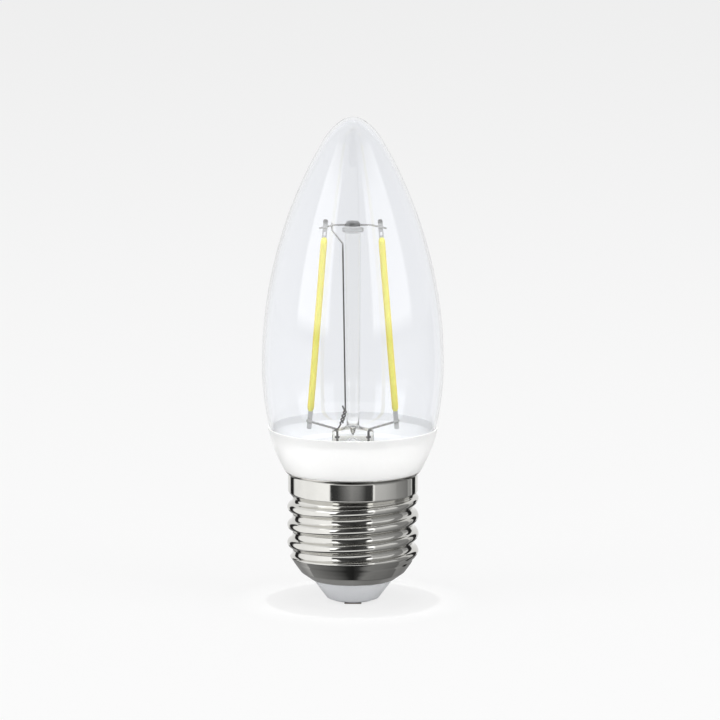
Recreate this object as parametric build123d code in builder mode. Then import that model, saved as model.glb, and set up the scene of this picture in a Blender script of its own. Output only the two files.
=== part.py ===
from build123d import *
import os
from math import asin, atan2, cos, degrees, radians, sqrt, tan

# A clear candle lamp: a blown glass bulb, a glass stem that carries two LED filaments, a white collar
# and a 27 mm screw cap with the driver inside it. Millimetres, +Z up the lamp's axis, origin at the
# middle of the centre contact's face, both filaments in the XZ plane.

os.makedirs("parts", exist_ok=True)

# Clearance between pieces that are pushed, threaded or cemented into each other
fit_gap = 0.05

# Centre contact, a rivet whose head stands below the insulator
contact_drop = 0.45
contact_face_radius = 1.7
contact_head_radius = 2.9
contact_head_rim = 0.15
contact_shank_radius = 0.9
contact_shank_proud = 0.4

# Insulator, a cone held in the mouth of the screw shell
insulator_foot_radius = 5.3
insulator_foot_rounding = 0.9
insulator_height = 4.15
insulator_flange_width = 1.2
insulator_flange_height = 0.8

# Screw shell of thin sheet: mouth, sloping foot, rolled thread, plain band
cap_wall = 0.3
cap_height = 22.2
cap_mouth_radius = 8.5
cap_foot_width = 2.0
cap_foot_rise = 1.45
cap_cone_slope = 0.7
thread_crest_radius = 13.2
thread_depth = 1.1
thread_pitch = 3.629
thread_crest_angle = 34.0
thread_flank_angle = 55.0
thread_first_crest = 5.53
thread_start_angle = 40.0
thread_sink = 0.3
band_inset = 0.15
band_height = 4.3
band_shoulder = 1.2

# Collar: its outside carries on the line of the glass, its spigot goes into the shell
collar_height = 8.7
collar_overhang = 0.65
collar_lip = 0.3
collar_edge_rounding = 0.25
spigot_wall = 1.1
wire_slot_width = 0.8
wire_slot_length = 7.0

# Glass bulb: arcs that run into each other from the tip down to the neck
bulb_wall = 0.8
belly_radius = 18.2
belly_rise = 12.7
rim_narrowing = 1.45
tip_rise = 49.75
tip_radius = 4.0
tip_arc_end = 56.0
nose_radius = 12.0
hip_radius = 6.5
throat_rise = 0.9
neck_length = 1.2

# Adhesive between the collar's seat and the hollow of the glass above the neck
cement_margin = 0.6

# Glass stem: flared tube, flat press, hollow rod, button
stem_wall = 0.8
stem_tube_radius = 4.3
stem_height = 9.1
flare_land = 0.3
flare_height = 5.2
press_margin = 0.8
press_depth = 3.2
press_shoulder = 0.8
press_height = 2.5
press_blend = 1.2
press_roof_depth = 3.2
rod_foot_radius = 1.25
rod_foot_sink = 0.3
rod_top_radius = 1.62
rod_bore_radius = 0.75
rod_bore_point = 1.8
rod_bore_end = 2.0
button_radius = 2.15
button_height = 0.95
button_edge = 0.25
button_below_wire = 0.5
crown_radius = 1.6
crown_height = 0.8
crown_edge = 0.35

# Exhaust tube below the press
exhaust_radius = 1.5
exhaust_wall = 0.5
exhaust_tip = 1.8
exhaust_clearance = 3.7

# Wires in the glass
lead_radius = 0.22
lead_clearance = 0.18
lead_bend_radius = 0.7
lead_knot_radius = 0.45
lead_knot_height = 0.4
lead_knot_drop = 2.4
arm_bend_drop = 0.65
arm_reach = 8.67
arm_rise = 1.6
arm_stub = 0.65
top_wire_radius = 0.18
top_wire_flat = 3.5
top_wire_reach = 5.52
top_wire_droop = 0.44
top_wire_stub = 1.2
top_wire_bend_radius = 2.0
jumper_radius = 0.2
jumper_hook_reach = 4.2
jumper_hook_drop = 0.9
jumper_bend_drop = 3.7
jumper_bend_radius = 0.8
jumper_clearance = 0.2
jumper_lap = 2.6
tail_weld_reach = 0.65
tail_knee_run = 1.0
tail_knee_rise = 0.35
tail_height = 3.2
tail_end_run = 0.5
tail_end_rise = 1.1
tail_bend_radius = 0.4

# Filaments
filament_length = 35.2
coat_width = 1.35
coat_depth = 1.15
coat_end_bevel = 0.25
strip_width = 0.7
strip_depth = 0.3
chip_count = 24
chip_length = 0.55
chip_width = 0.3
chip_height = 0.12
tab_width = 0.95
tab_depth = 0.25
tab_reach = 2.1
tab_sink = 0.9
tab_tail = 1.55
tab_end_rounding = 0.3
tab_barrel_wall = 0.14
tab_slot_length = 0.7
tab_slot_width = 0.4
tab_slot_margin = 0.4

# Driver below the spigot
board_thickness = 1.0
pin_radius = 0.25
pin_spacing = 2.5
pin_proud = 0.5
capacitor_radius = 3.0
capacitor_height = 6.0
capacitor_margin = 2.9
capacitor_standoff = 0.2
capacitor_clearance = 1.1
capacitor_bevel = 0.4
package_length = 4.6
package_width = 3.4
package_height = 1.3
package_bevel = 0.3
package_margin = 1.9
package_leg_reach = 0.6
package_leg_width = 0.4
package_leg_thickness = 0.25
rectifier_legs = 2
rectifier_leg_spacing = 2.5
driver_legs = 4
driver_leg_spacing = 1.27
resistor_radius = 1.1
resistor_length = 3.4
resistor_margin = 5.1
resistor_gap = 1.2
resistor_bevel = 0.35
resistor_lead_bend = 0.6
neutral_inset = 1.6
neutral_drop = 0.7
neutral_bend_radius = 0.5

# Radii of the cap and of what goes into it
thread_root_radius = thread_crest_radius - thread_depth
band_radius = thread_crest_radius - band_inset
cap_foot_radius = cap_mouth_radius + cap_foot_width
mouth_bore = cap_mouth_radius - cap_wall
root_bore = thread_root_radius - cap_wall
sheet_lift = cap_wall / 2
spigot_radius = root_bore - fit_gap
neck_bore = spigot_radius - spigot_wall
neck_radius = neck_bore - fit_gap
neutral_radius = spigot_radius - pin_radius
board_radius = neutral_radius - pin_radius - fit_gap

# Heights of the cap, the driver and the glass
z_mouth = contact_drop + insulator_height
z_foot = z_mouth + cap_foot_rise
z_cap_rim = z_mouth + cap_height
z_band = z_cap_rim - band_height
z_flange = z_mouth + sheet_lift + cap_foot_rise * insulator_flange_width / cap_foot_width + fit_gap
z_insulator_top = z_flange + insulator_flange_height
z_shank_top = z_insulator_top + contact_shank_proud
z_can_top = z_insulator_top + capacitor_clearance + capacitor_height
z_board = z_can_top + capacitor_standoff
z_spigot = z_board + board_thickness
z_rim = z_cap_rim + collar_height
z_belly = z_rim + belly_rise
z_tip = z_belly + tip_rise

# Arcs of the bulb's half section: tip, nose, flank, shoulder, hip and throat, each tangent to the next
rim_radius = belly_radius - rim_narrowing
tip_centre = Vector(0, z_tip - tip_radius)
nose_centre = tip_centre - Vector(nose_radius - tip_radius, 0).rotate(Axis.Z, tip_arc_end)
nose_side = nose_centre.X - belly_radius
nose_lift = nose_centre.Y - z_belly
flank_radius = (nose_side**2 + nose_lift**2 - nose_radius**2) / (-2 * (nose_side + nose_radius))
flank_centre = Vector(belly_radius - flank_radius, z_belly)
flank_end = degrees(atan2(nose_lift, nose_centre.X - flank_centre.X))
shoulder_radius = (belly_rise**2 + rim_narrowing**2) / (2 * rim_narrowing)
shoulder_centre = Vector(belly_radius - shoulder_radius, z_belly)
shoulder_end = degrees(asin(belly_rise / shoulder_radius))
hip_centre = Vector(rim_radius, z_rim) - Vector(hip_radius, 0).rotate(Axis.Z, -shoulder_end)
z_throat = z_cap_rim + throat_rise
throat_side = neck_radius - hip_centre.X
throat_drop = hip_centre.Y - z_throat
throat_radius = (throat_side**2 + throat_drop**2 - hip_radius**2) / (2 * (hip_radius - throat_side))
throat_centre = Vector(neck_radius + throat_radius, z_throat)
hip_end = degrees(atan2(throat_drop, throat_centre.X - hip_centre.X))
z_seal = z_throat - neck_length

# Heights inside the glass, from the seal of the stem upwards
z_press = z_seal + stem_height
z_tube_top = z_press - press_height
z_press_low = z_tube_top + press_blend
z_roof = z_press - press_roof_depth
z_bend = z_press - arm_bend_drop
z_arm = z_bend + arm_rise
filament_span = filament_length + 2 * tab_reach
z_top_joint = z_arm + sqrt(filament_span**2 - (arm_reach - top_wire_reach) ** 2)
z_top_wire = z_top_joint + top_wire_droop
z_brim_top = z_top_wire - button_below_wire
z_brim = z_brim_top - button_height
z_crown = z_top_wire + crown_height

# Places of the wires
stem_bore = stem_tube_radius - stem_wall
lead_spacing = stem_bore - lead_radius - lead_clearance
arm_slope = arm_rise / (arm_reach - lead_spacing)
droop_slope = top_wire_droop / (top_wire_reach - top_wire_flat)
exhaust_bore = exhaust_radius - exhaust_wall


def half_section(*points):
    """A flat face in the XZ plane, from (radius, height) points, for turning about the axis."""
    with BuildSketch(Plane.XZ, mode=Mode.PRIVATE) as section:
        with BuildLine():
            Polyline(*points, close=True)
        make_face()
    return section.sketch


def bulb_section(growth):
    """Half section of the bulb without its hollow, grown outwards by the given amount."""
    with BuildSketch(Plane.XZ, mode=Mode.PRIVATE) as section:
        with BuildLine():
            CenterArc(tip_centre, tip_radius + growth, tip_arc_end, 90 - tip_arc_end)
            CenterArc(nose_centre, nose_radius + growth, flank_end, tip_arc_end - flank_end)
            CenterArc(flank_centre, flank_radius + growth, 0, flank_end)
            CenterArc(shoulder_centre, shoulder_radius + growth, -shoulder_end, shoulder_end)
            CenterArc(hip_centre, hip_radius + growth, -hip_end, hip_end - shoulder_end)
            CenterArc(throat_centre, throat_radius - growth, 180 - hip_end, hip_end)
            Polyline(
                (neck_radius + growth, z_throat),
                (neck_radius + growth, z_seal),
                (0, z_seal),
                (0, z_tip + growth),
            )
        make_face()
    return section.sketch


def bent_wire(points, bend_radius, radius):
    """A round wire along straight runs joined by arcs."""
    with BuildPart() as wire:
        with BuildLine() as route:
            FilletPolyline(*points, radius=bend_radius)
        with BuildSketch(Plane(origin=route.line @ 0, z_dir=route.line % 0)):
            Circle(radius)
        sweep()
    return wire.part


# Centre contact: flat face, sloping head and the shank that is riveted through the insulator
with BuildPart() as centre_contact:
    contact_half = half_section(
        (0, 0),
        (contact_face_radius, 0),
        (contact_head_radius, contact_drop - contact_head_rim),
        (contact_head_radius, contact_drop),
        (contact_shank_radius, contact_drop),
        (contact_shank_radius, z_shank_top),
        (0, z_shank_top),
    )
    revolve(contact_half, axis=Axis.Z)
centre_contact.part.label = "centre_contact"
export_step(centre_contact.part, "parts/centre_contact.step")

# Insulator: cone below the shell, a flange on the shell's inside and the hole for the shank
shank_hole = contact_shank_radius + fit_gap
insulator_neck = mouth_bore - fit_gap
insulator_flange = insulator_neck + insulator_flange_width
with BuildPart() as insulator:
    insulator_half = half_section(
        (shank_hole, contact_drop),
        (insulator_foot_radius, contact_drop),
        (insulator_neck, z_mouth),
        (insulator_neck, z_mouth + sheet_lift + fit_gap),
        (insulator_flange, z_flange),
        (insulator_flange, z_insulator_top),
        (shank_hole, z_insulator_top),
    )
    revolve(insulator_half, axis=Axis.Z)
    foot_edges = insulator.edges().group_by(Axis.Z)[0]
    fillet(foot_edges.sort_by(SortBy.RADIUS)[-1], insulator_foot_rounding)
insulator.part.label = "insulator"
export_step(insulator.part, "parts/insulator.step")


def cap_section(inset):
    """Half section of the cap without its thread ridge, moved inwards by the given amount."""
    lift = inset / 2
    root = thread_root_radius - inset
    return half_section(
        (0, z_mouth + lift),
        (cap_mouth_radius - inset, z_mouth + lift),
        (cap_foot_radius - inset, z_foot + lift),
        (root, z_foot + lift + (thread_root_radius - cap_foot_radius) / cap_cone_slope),
        (root, z_band - band_shoulder),
        (band_radius - inset, z_band),
        (band_radius - inset, z_cap_rim),
        (0, z_cap_rim),
    )


# Thread ridge: a round crest with straight flanks, swept up a right-hand helix. It fades into the
# foot's cone below and into the band's shoulder above.
half_pitch = thread_pitch / 2
crest_arc = (thread_depth**2 + half_pitch**2) / (4 * thread_depth)
crest_centre = Vector(thread_crest_radius - crest_arc, 0)
flank_start = crest_centre + Vector(crest_arc, 0).rotate(Axis.Z, thread_crest_angle)
ridge_foot = thread_root_radius - thread_sink
ridge_half = flank_start.Y + (flank_start.X - ridge_foot) / tan(radians(thread_flank_angle))
z_ridge = z_mouth + thread_first_crest - thread_pitch * (1 - thread_start_angle / 360)
z_ridge_end = z_band + thread_pitch
with BuildPart() as thread_ridge:
    with BuildLine() as ridge_route:
        Helix(thread_pitch, z_ridge_end - z_ridge, thread_root_radius, center=(0, 0, z_ridge))
    with BuildSketch(Plane(origin=(0, 0, z_ridge), x_dir=(1, 0, 0), z_dir=(0, -1, 0))):
        with BuildLine():
            ThreePointArc(
                (flank_start.X, -flank_start.Y),
                (thread_crest_radius, 0),
                (flank_start.X, flank_start.Y),
            )
            Polyline(
                (flank_start.X, flank_start.Y),
                (ridge_foot, ridge_half),
                (ridge_foot, -ridge_half),
                (flank_start.X, -flank_start.Y),
            )
        make_face()
    sweep(path=ridge_route.line, is_frenet=True)

trim_radius = thread_crest_radius + thread_depth
shoulder_steepness = band_shoulder / (band_radius - thread_root_radius)
trim_inside = thread_root_radius - thread_depth
z_trim_inside = z_band - shoulder_steepness * (band_radius - trim_inside)
z_trim_outside = z_band + shoulder_steepness * (trim_radius - band_radius)
with BuildPart() as trimmed_ridge:
    add(thread_ridge.part.rotate(Axis.Z, thread_start_angle))
    ridge_room = half_section(
        (0, z_mouth),
        (cap_mouth_radius, z_mouth),
        (cap_foot_radius, z_foot),
        (trim_radius, z_foot + (trim_radius - cap_foot_radius) / cap_cone_slope),
        (trim_radius, z_trim_outside),
        (trim_inside, z_trim_inside),
        (0, z_trim_inside),
    )
    revolve(ridge_room, axis=Axis.Z, mode=Mode.INTERSECT)

# Screw shell: thin sheet with the thread ridge round it, open at the mouth and at the rim
with BuildPart() as screw_shell:
    revolve(cap_section(0), axis=Axis.Z)
    add(trimmed_ridge.part)
    revolve(cap_section(cap_wall), axis=Axis.Z, mode=Mode.SUBTRACT)
    with BuildSketch(Plane.XY.offset(z_mouth)):
        Circle(mouth_bore)
    extrude(amount=cap_foot_rise, mode=Mode.SUBTRACT)
screw_shell.part.label = "screw_shell"
export_step(screw_shell.part, "parts/screw_shell.step")

# Collar: curved outside, a seat of cones that follow the hip of the glass, and a spigot with a slot
# for the neutral wire
seat_step = (hip_end - shoulder_end) / 4
seat_reach = (hip_radius + fit_gap) / cos(radians(seat_step))
seat_high = hip_centre + Vector(seat_reach, 0).rotate(Axis.Z, -shoulder_end - seat_step)
seat_middle = hip_centre + Vector(seat_reach, 0).rotate(Axis.Z, -hip_end + seat_step)
seat_low = hip_centre + Vector(hip_radius + fit_gap, 0).rotate(Axis.Z, -hip_end)
seat_foot = Vector(neck_bore, z_throat)
collar_top_radius = rim_radius + fit_gap + collar_lip
collar_foot_radius = band_radius + collar_overhang
with BuildPart() as collar:
    with BuildSketch(Plane.XZ):
        with BuildLine():
            TangentArc(
                (collar_top_radius, z_rim),
                (collar_foot_radius, z_cap_rim),
                tangent=Vector(0, -1).rotate(Axis.Z, -shoulder_end),
            )
            Polyline(
                (collar_top_radius, z_rim),
                (rim_radius + fit_gap, z_rim),
                seat_high,
                seat_middle,
                seat_low,
                seat_foot,
                (neck_bore, z_spigot),
                (spigot_radius, z_spigot),
                (spigot_radius, z_cap_rim),
                (collar_foot_radius, z_cap_rim),
            )
        make_face()
    revolve(axis=Axis.Z)
    foot_edges = collar.edges().filter_by(GeomType.CIRCLE).sort_by(Axis.Z)
    foot_edges = foot_edges.filter_by(lambda edge: abs(edge.radius - collar_foot_radius) < fit_gap)
    fillet(foot_edges, collar_edge_rounding)
    with BuildSketch(Plane.XY.offset(z_spigot)):
        with Locations((0, neutral_radius)):
            Rectangle(wire_slot_width, 2 * (pin_radius + fit_gap))
    extrude(amount=wire_slot_length, mode=Mode.SUBTRACT)
collar.part.label = "collar"
export_step(collar.part, "parts/collar.step")

# Adhesive: a ring that lies on the collar's seat and fills the hollow of the glass above its neck
seat_run = (seat_low - seat_foot) * (cement_margin / (seat_low - seat_foot).Y)
cement_foot = seat_foot + seat_run
cement_top = seat_low - seat_run
with BuildPart() as neck_cement:
    cement_half = half_section(
        (neck_radius, cement_foot.Y),
        cement_foot,
        cement_top,
        (neck_radius, cement_top.Y),
    )
    revolve(cement_half, axis=Axis.Z)
    revolve(bulb_section(fit_gap), axis=Axis.Z, mode=Mode.SUBTRACT)
neck_cement.part.label = "neck_cement"
export_step(neck_cement.part, "parts/neck_cement.step")

# Glass bulb, open at the neck where the stem is fused in
with BuildPart() as glass_bulb:
    revolve(bulb_section(0), axis=Axis.Z)
    revolve(bulb_section(-bulb_wall), axis=Axis.Z, mode=Mode.SUBTRACT)
glass_bulb.part.label = "glass_bulb"
export_step(glass_bulb.part, "parts/glass_bulb.step")

# Lead wires: up from the board, through the press with a welded knot, then out to the filament
lead_wires = []
for side, name in ((-1, "left"), (1, "right")):
    lead_points = [
        (side * lead_spacing, 0, z_board - pin_proud),
        (side * lead_spacing, 0, z_bend),
        (side * (arm_reach + arm_stub), 0, z_arm + arm_slope * arm_stub),
    ]
    with BuildPart() as lead_wire:
        add(bent_wire(lead_points, lead_bend_radius, lead_radius))
        with BuildSketch(Plane.XY.offset(z_press - lead_knot_drop)):
            with Locations((side * lead_spacing, 0)):
                Circle(lead_knot_radius)
        extrude(amount=lead_knot_height)
    lead_wire.part.label = f"lead_wire_{name}"
    export_step(lead_wire.part, f"parts/lead_wire_{name}.step")
    lead_wires.append(lead_wire.part)

# Top wire, held across the stem's button and drooping to both filaments
top_tip = top_wire_reach + top_wire_stub
z_top_tip = z_top_joint - droop_slope * top_wire_stub
top_points = [
    (-top_tip, 0, z_top_tip),
    (-top_wire_flat, 0, z_top_wire),
    (top_wire_flat, 0, z_top_wire),
    (top_tip, 0, z_top_tip),
]
with BuildPart() as top_wire:
    add(bent_wire(top_points, top_wire_bend_radius, top_wire_radius))
top_wire.part.label = "top_wire"
export_step(top_wire.part, "parts/top_wire.step")

# Tail: a short wire welded to the left lead's arm and bent up beside the rod, with a free end
weld_step = lead_radius + jumper_radius + fit_gap
tail_weld = Vector(-lead_spacing - tail_weld_reach, -weld_step, z_bend + arm_slope * tail_weld_reach)
tail_knee = tail_weld + Vector(tail_knee_run, 0, tail_knee_rise)
tail_top = Vector(
    -rod_foot_radius - jumper_radius - fit_gap,
    -weld_step - jumper_clearance,
    z_press + tail_height,
)
tail_end = tail_top + Vector(-tail_end_run, 0, tail_end_rise)
with BuildPart() as jumper_tail:
    add(bent_wire([tail_weld, tail_knee, tail_top, tail_end], tail_bend_radius, jumper_radius))
jumper_tail.part.label = "jumper_tail"
export_step(jumper_tail.part, "parts/jumper_tail.step")

# Jumper: hooked over the top wire, then down beside the rod, with its end laid along the tail
hook_radius = top_wire_radius + jumper_radius + fit_gap
hook_drop = droop_slope * (jumper_hook_reach - top_wire_flat)
hook_centre = Vector(-jumper_hook_reach, 0, z_top_wire - hook_drop)
hook_front = hook_centre - Vector(0, hook_radius, 0)
lap_step = Vector(0, -2 * jumper_radius - fit_gap, 0)
lap_run = (tail_knee - tail_top).normalized() * jumper_lap
jumper_side = rod_top_radius + jumper_radius + jumper_clearance
jumper_points = [
    hook_front,
    hook_front - Vector(0, 0, jumper_hook_drop),
    Vector(-jumper_side, -hook_radius, z_top_wire - jumper_bend_drop),
    tail_top + lap_step,
    tail_top + lap_step + lap_run,
]
with BuildPart() as jumper_wire:
    with BuildLine() as jumper_route:
        ThreePointArc(
            hook_centre + Vector(0, hook_radius, 0),
            hook_centre + Vector(0, 0, hook_radius),
            hook_front,
        )
        FilletPolyline(*jumper_points, radius=jumper_bend_radius)
    with BuildSketch(Plane(origin=jumper_route.line @ 0, z_dir=jumper_route.line % 0)):
        Circle(jumper_radius)
    sweep()
jumper_wire.part.label = "jumper_wire"
export_step(jumper_wire.part, "parts/jumper_wire.step")

# Glass stem: flared tube, a press flattened over the leads, the hollow rod and the button with its crown
flare_foot = neck_radius - bulb_wall - flare_land
press_half = lead_spacing + press_margin
with BuildPart() as glass_stem:
    tube_half = half_section(
        (0, z_seal - stem_wall),
        (neck_radius, z_seal - stem_wall),
        (neck_radius, z_seal),
        (flare_foot, z_seal),
        (stem_tube_radius, z_seal + flare_height),
        (stem_tube_radius, z_tube_top),
        (0, z_tube_top),
    )
    revolve(tube_half, axis=Axis.Z)
    with BuildSketch(Plane.XY.offset(z_tube_top)):
        Circle(stem_tube_radius)
    with BuildSketch(Plane.XY.offset(z_press_low)):
        Ellipse(press_half, press_depth / 2)
    loft()
    with BuildSketch(Plane.XY.offset(z_press_low)):
        Ellipse(press_half, press_depth / 2)
    extrude(amount=z_press - z_press_low)
    with BuildSketch(Plane.XZ):
        with BuildLine():
            Polyline(
                (rod_foot_radius, z_press),
                (press_half, z_press),
                (press_half, z_press - press_shoulder),
                close=True,
            )
        make_face()
        mirror(about=Plane.YZ)
    extrude(amount=press_depth, both=True, mode=Mode.SUBTRACT)
    rod_half = half_section(
        (0, z_press - rod_foot_sink),
        (rod_foot_radius, z_press - rod_foot_sink),
        (rod_top_radius, z_brim),
        (button_radius - button_edge, z_brim),
        (button_radius, z_brim + button_edge),
        (button_radius, z_brim_top - button_edge),
        (button_radius - button_edge, z_brim_top),
        (crown_radius, z_brim_top),
        (crown_radius, z_crown - crown_edge),
        (crown_radius - crown_edge, z_crown),
        (0, z_crown),
    )
    revolve(rod_half, axis=Axis.Z)
    tube_bore = half_section(
        (0, z_seal - stem_wall),
        (flare_foot, z_seal - stem_wall),
        (stem_bore, z_seal + flare_height),
        (stem_bore, z_roof),
        (exhaust_bore, z_roof),
        (0, z_roof + exhaust_bore),
    )
    revolve(tube_bore, axis=Axis.Z, mode=Mode.SUBTRACT)
    rod_bore = half_section(
        (0, z_press - rod_bore_point),
        (rod_bore_radius, z_press),
        (rod_bore_radius, z_brim - rod_bore_end),
        (0, z_brim - rod_bore_end + rod_bore_radius),
    )
    revolve(rod_bore, axis=Axis.Z, mode=Mode.SUBTRACT)
    add(lead_wires + [top_wire.part], mode=Mode.SUBTRACT)
glass_stem.part.label = "glass_stem"
export_step(glass_stem.part, "parts/glass_stem.step")

# Exhaust tube: open at the press, drawn to a point where it was melted shut
z_exhaust = z_spigot + exhaust_clearance
with BuildPart() as exhaust_tube:
    exhaust_half = half_section(
        (0, z_exhaust),
        (exhaust_radius, z_exhaust + exhaust_tip),
        (exhaust_radius, z_roof),
        (exhaust_bore, z_roof),
        (exhaust_bore, z_exhaust + exhaust_tip),
        (0, z_exhaust + exhaust_wall),
    )
    revolve(exhaust_half, axis=Axis.Z)
exhaust_tube.part.label = "exhaust_tube"
export_step(exhaust_tube.part, "parts/exhaust_tube.step")


def end_tab(joint, across, outward, wire_radius, wire_direction, slotted):
    """A flat tab that reaches into the coat, rolled round the wire at the joint, with a rounded tail."""
    inner = tab_reach + tab_sink
    with BuildPart() as tab:
        with BuildSketch(Plane(origin=joint, x_dir=across, z_dir=across.cross(outward))) as outline:
            with Locations((0, (tab_tail - inner) / 2)):
                Rectangle(tab_width, tab_tail + inner)
            fillet(outline.vertices().group_by(Axis.Y)[-1], tab_end_rounding)
            if slotted:
                with Locations((0, tab_slot_margin + tab_slot_length / 2 - tab_reach)):
                    Rectangle(tab_slot_width, tab_slot_length, mode=Mode.SUBTRACT)
        extrude(amount=tab_depth / 2, both=True)
        with BuildSketch(Plane(origin=joint, z_dir=wire_direction)):
            Circle(wire_radius + fit_gap + tab_barrel_wall)
        extrude(amount=tab_width / 2, both=True)
        with BuildSketch(Plane(origin=joint, z_dir=wire_direction)):
            Circle(wire_radius + fit_gap)
        extrude(amount=tab_width, both=True, mode=Mode.SUBTRACT)
    return tab.part


# Filaments: on each side two tabs, a carrier strip with its row of chips, and the coat round them
strip_length = filament_length - 2 * tab_sink
for side, name in ((-1, "left"), (1, "right")):
    lower_joint = Vector(side * arm_reach, 0, z_arm)
    upper_joint = Vector(side * top_wire_reach, 0, z_top_joint)
    along = (upper_joint - lower_joint).normalized()
    across = Vector(0, 1, 0).cross(along)
    middle = lower_joint + along * (filament_span / 2)
    arm_direction = Vector(side, 0, arm_slope)
    droop_direction = Vector(side, 0, -droop_slope)

    with BuildPart() as tab_lower:
        add(end_tab(lower_joint, across, along * -1, lead_radius, arm_direction, False))
    tab_lower.part.label = f"tab_lower_{name}"
    export_step(tab_lower.part, f"parts/tab_lower_{name}.step")

    with BuildPart() as tab_upper:
        add(end_tab(upper_joint, across, along, top_wire_radius, droop_direction, True))
    tab_upper.part.label = f"tab_upper_{name}"
    export_step(tab_upper.part, f"parts/tab_upper_{name}.step")

    with BuildPart() as filament_strip:
        with BuildSketch(Plane(origin=middle, x_dir=across, z_dir=along)):
            Rectangle(strip_width, strip_depth)
        extrude(amount=strip_length / 2, both=True)
    filament_strip.part.label = f"filament_strip_{name}"
    export_step(filament_strip.part, f"parts/filament_strip_{name}.step")

    strip_face = middle - Vector(0, strip_depth / 2, 0)
    with BuildPart() as led_chips:
        with BuildSketch(Plane(origin=strip_face, x_dir=across, z_dir=(0, -1, 0))):
            with GridLocations(0, strip_length / chip_count, 1, chip_count):
                Rectangle(chip_width, chip_length)
        extrude(amount=chip_height)
    led_chips.part.label = f"led_chips_{name}"
    export_step(led_chips.part, f"parts/led_chips_{name}.step")

    with BuildPart() as filament_coat:
        with BuildSketch(Plane(origin=middle, x_dir=across, z_dir=along)):
            Ellipse(coat_width / 2, coat_depth / 2)
        extrude(amount=filament_length / 2, both=True)
        coat_ends = filament_coat.faces().filter_by(GeomType.PLANE)
        chamfer(coat_ends.edges(), coat_end_bevel)
        add([tab_lower.part, tab_upper.part], mode=Mode.SUBTRACT)
        add([filament_strip.part, led_chips.part], mode=Mode.SUBTRACT)
    filament_coat.part.label = f"filament_coat_{name}"
    export_step(filament_coat.part, f"parts/filament_coat_{name}.step")

# Driver board, held against the end of the spigot, with a hole for each wire and pin
neutral_place = neck_bore - neutral_inset
resistor_place = board_radius - resistor_margin - resistor_radius
capacitor_place = board_radius - capacitor_margin - capacitor_radius
capacitor_pins = [(-pin_spacing / 2, -capacitor_place), (pin_spacing / 2, -capacitor_place)]
with BuildPart() as driver_board:
    with BuildSketch(Plane.XY.offset(z_board)):
        Circle(board_radius)
    extrude(amount=board_thickness)
    with Locations((-lead_spacing, 0, z_board), (lead_spacing, 0, z_board)):
        Hole(lead_radius + fit_gap)
    with Locations(*[(x, y, z_board) for x, y in capacitor_pins]):
        Hole(pin_radius + fit_gap)
    with Locations((0, resistor_place, z_board), (0, neutral_place, z_board)):
        Hole(pin_radius + fit_gap)
driver_board.part.label = "driver_board"
export_step(driver_board.part, "parts/driver_board.step")

# Smoothing capacitor: a can that hangs below the board on two pins
with BuildPart() as smoothing_capacitor:
    with BuildSketch(Plane.XY.offset(z_can_top)):
        with Locations((0, -capacitor_place)):
            Circle(capacitor_radius)
    extrude(amount=-capacitor_height)
    chamfer(smoothing_capacitor.edges().group_by(Axis.Z)[0], capacitor_bevel)
    with BuildSketch(Plane.XY.offset(z_can_top)):
        with Locations(*capacitor_pins):
            Circle(pin_radius)
    extrude(amount=capacitor_standoff + board_thickness + pin_proud)
smoothing_capacitor.part.label = "smoothing_capacitor"
export_step(smoothing_capacitor.part, "parts/smoothing_capacitor.step")

# Rectifier and driver chip: bevelled moulded bodies on flat legs, on the board's upper side
package_place = neck_bore - package_margin - package_leg_reach - package_width / 2
packages = (
    ("bridge_rectifier", -package_place, rectifier_legs, rectifier_leg_spacing),
    ("driver_chip", package_place, driver_legs, driver_leg_spacing),
)
for name, place, legs, leg_spacing in packages:
    with BuildPart() as package:
        with BuildSketch(Plane.XY.offset(z_spigot + package_leg_thickness)):
            with Locations((place, 0)):
                Rectangle(package_width, package_length)
        extrude(amount=package_height)
        chamfer(package.faces().sort_by(Axis.Z)[-1].edges(), package_bevel)
        with BuildSketch(Plane.XY.offset(z_spigot)):
            with Locations((place, 0)):
                with GridLocations(0, leg_spacing, 1, legs):
                    Rectangle(package_width + 2 * package_leg_reach, package_leg_width)
        extrude(amount=package_leg_thickness)
    package.part.label = name
    export_step(package.part, f"parts/{name}.step")

# Fusible resistor: hangs below the board, its lower lead bent over the top of the contact's shank
z_shank_lead = z_shank_top + pin_radius + fit_gap
resistor_points = [
    (0, resistor_place, z_spigot + pin_proud),
    (0, resistor_place, z_shank_lead),
    (0, -contact_shank_radius, z_shank_lead),
]
with BuildPart() as fuse_resistor:
    with BuildSketch(Plane.XY.offset(z_board - resistor_gap)):
        with Locations((0, resistor_place)):
            Circle(resistor_radius)
    extrude(amount=-resistor_length)
    chamfer(fuse_resistor.edges().filter_by(GeomType.CIRCLE), resistor_bevel)
    add(bent_wire(resistor_points, resistor_lead_bend, pin_radius))
fuse_resistor.part.label = "fuse_resistor"
export_step(fuse_resistor.part, "parts/fuse_resistor.step")

# Neutral wire: down through the board, out past its edge and up between spigot and shell
neutral_points = [
    (0, neutral_place, z_spigot + pin_proud),
    (0, neutral_place, z_board - neutral_drop),
    (0, neutral_radius, z_board - neutral_drop),
    (0, neutral_radius, z_spigot + wire_slot_length - fit_gap),
]
with BuildPart() as neutral_wire:
    add(bent_wire(neutral_points, neutral_bend_radius, pin_radius))
neutral_wire.part.label = "neutral_wire"
export_step(neutral_wire.part, "parts/neutral_wire.step")
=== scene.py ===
import math

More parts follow.
